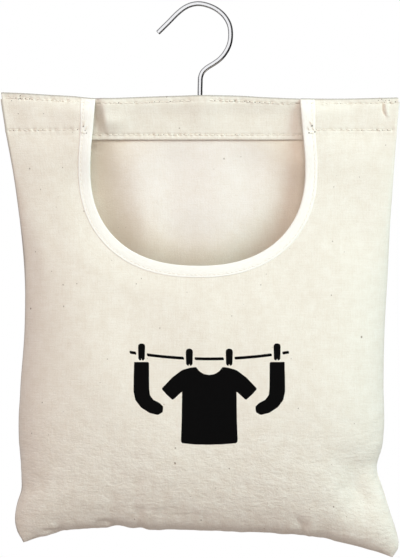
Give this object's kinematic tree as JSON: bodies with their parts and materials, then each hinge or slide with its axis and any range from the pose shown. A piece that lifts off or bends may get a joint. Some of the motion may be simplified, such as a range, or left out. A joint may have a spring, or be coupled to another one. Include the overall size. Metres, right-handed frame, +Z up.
{
  "type": "peg bag",
  "caption": "Canvas peg bag: a flat sewn pouch with a bound, scooped mouth in its front, hemmed round a wooden bar that hangs from a swivelling wire hook.",
  "frame": {"origin": "inside of the hook's crown, where a line or rail carries the bag", "axes": "+X to the right and +Y to the back as seen from the front with the mouth facing the viewer, +Z up along the hook's stem"},
  "size_m": [0.306, 0.0488, 0.4274],
  "materials": {
    "chrome": "bright plated wire",
    "zinc": "zinc plated",
    "pine": "plain planed softwood",
    "canvas": "natural cotton canvas with seed flecks",
    "tape": "white cotton tape",
    "thread": "natural sewing thread"
  },
  "bodies": {
    "hook": {"hook": "chrome"},
    "bag": {"hook_washer": "zinc", "hanger_bar": "pine", "back_panel": "canvas", "front_panel": "canvas", "scoop_binding": "tape", "left_strap_facing": "canvas", "right_strap_facing": "canvas", "left_side_seam": "canvas", "right_side_seam": "canvas", "bottom_seam": "canvas", "left_top_stitching": "thread", "right_top_stitching": "thread", "back_top_stitching": "thread", "hem_stitching": "thread", "left_strap_stitching": "thread", "right_strap_stitching": "thread", "binding_stitching": "thread", "left_binding_tack": "thread", "right_binding_tack": "thread"}
  },
  "joints": [
    {"name": "hook_swivel", "type": "hinge", "parent": "hook", "child": "bag", "pos_m": [0, 0, -0.07], "axis": [0, 0, 1], "continuous": true}
  ]
}
